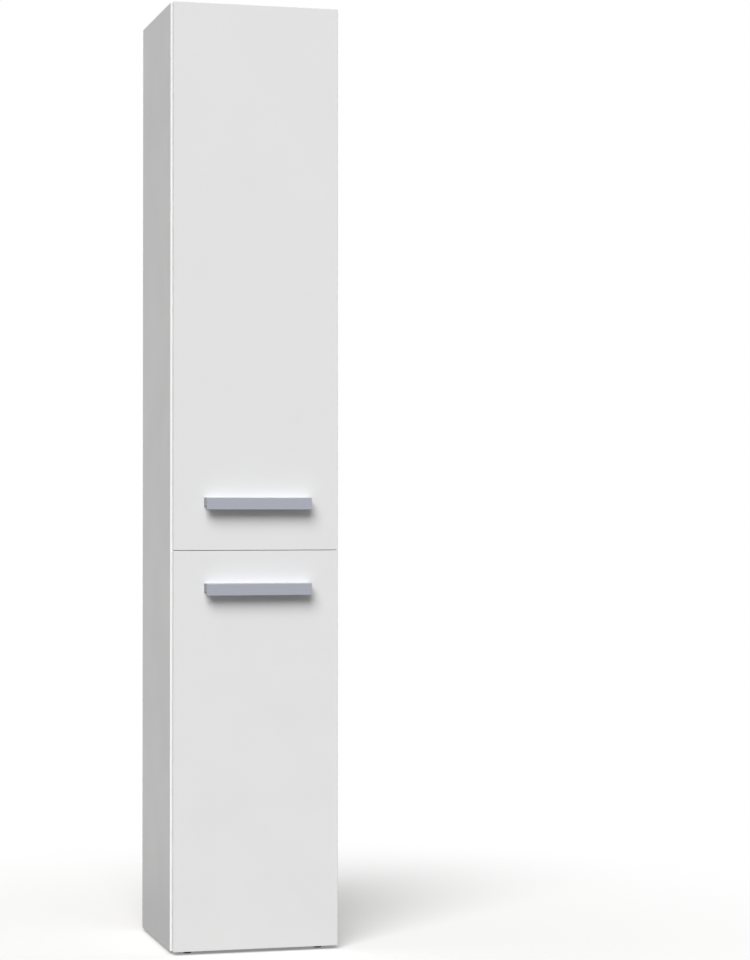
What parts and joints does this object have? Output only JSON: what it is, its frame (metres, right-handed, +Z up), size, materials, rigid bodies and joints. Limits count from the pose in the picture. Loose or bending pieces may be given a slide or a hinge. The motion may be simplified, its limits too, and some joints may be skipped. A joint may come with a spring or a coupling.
{
  "type": "bathroom cabinet",
  "caption": "Tall narrow white bathroom cabinet on small feet: a hinged door with a bar handle over adjustable shelves, and a tilt-out flap that carries a wire laundry basket.",
  "frame": {"origin": "on the floor, under the middle of the overall width and of the overall depth with the handles", "axes": "+Z up, front with the handles faces -Y, door hinged on the +X side, back against the wall on +Y"},
  "size_m": [0.306, 0.3286, 1.7235],
  "materials": {
    "white_melamine_board": "satin white melamine facing on particle board",
    "hardboard_back": "thin hardboard, white lacquer inside and raw brown outside",
    "satin_anodised_aluminium": "satin anodised extrusion",
    "white_coated_wire": "white plastic-coated steel wire",
    "nickel_plated_steel": "nickel-plated pressed steel",
    "zinc_plated_steel": "bright zinc-plated steel",
    "white_polypropylene": "moulded white plastic",
    "dark_grey_polyethylene": "moulded dark grey plastic",
    "clear_soft_vinyl": "soft translucent vinyl",
    "beech_dowel": "fluted beech"
  },
  "bodies": {
    "carcass": {"side_panel_left": "white_melamine_board", "side_panel_right": "white_melamine_board", "top_panel": "white_melamine_board", "middle_panel": "white_melamine_board", "bottom_panel": "white_melamine_board", "upper_shelf": "white_melamine_board", "lower_shelf": "white_melamine_board", "back_panel": "hardboard_back", "door_hinge_arms": "nickel_plated_steel", "door_hinge_plates": "nickel_plated_steel", "flap_hinge_arms": "nickel_plated_steel", "flap_hinge_plates": "nickel_plated_steel", "shelf_pins": "nickel_plated_steel", "cam_locks": "zinc_plated_steel", "cam_bolts": "zinc_plated_steel", "back_nails": "zinc_plated_steel", "door_plate_screws": "zinc_plated_steel", "flap_plate_screws": "zinc_plated_steel", "door_arm_screws": "zinc_plated_steel", "flap_arm_screws": "zinc_plated_steel", "wall_bracket": "zinc_plated_steel", "wall_bracket_screws": "zinc_plated_steel", "cam_caps": "white_polypropylene", "feet": "dark_grey_polyethylene", "dowels": "beech_dowel"},
    "door": {"door_panel": "white_melamine_board", "door_handle": "satin_anodised_aluminium", "door_handle_screws": "zinc_plated_steel", "door_hinge_cups": "nickel_plated_steel", "door_hinge_pins": "nickel_plated_steel", "door_cup_screws": "zinc_plated_steel", "door_bumpers": "clear_soft_vinyl"},
    "flap": {"flap_panel": "white_melamine_board", "flap_handle": "satin_anodised_aluminium", "flap_handle_screws": "zinc_plated_steel", "flap_hinge_cups": "nickel_plated_steel", "flap_hinge_pins": "nickel_plated_steel", "flap_cup_screws": "zinc_plated_steel", "flap_bumpers": "clear_soft_vinyl", "flap_stop_clips": "white_polypropylene", "basket_back_wall": "white_coated_wire", "basket_front_wall": "white_coated_wire", "basket_left_wall": "white_coated_wire", "basket_right_wall": "white_coated_wire", "basket_floor_grille": "white_coated_wire", "basket_top_braces": "white_coated_wire", "basket_clips": "white_polypropylene", "basket_clip_screws": "zinc_plated_steel"}
  },
  "joints": [
    {"name": "door_swing", "type": "hinge", "parent": "carcass", "child": "door", "pos_m": [0.144, -0.13025, 1.205], "axis": [0, 0, 1], "range_deg": [0, 95]},
    {"name": "flap_tilt", "type": "hinge", "parent": "carcass", "child": "flap", "pos_m": [0, -0.13025, 0.0125], "axis": [1, 0, 0], "range_deg": [0, 30]}
  ]
}
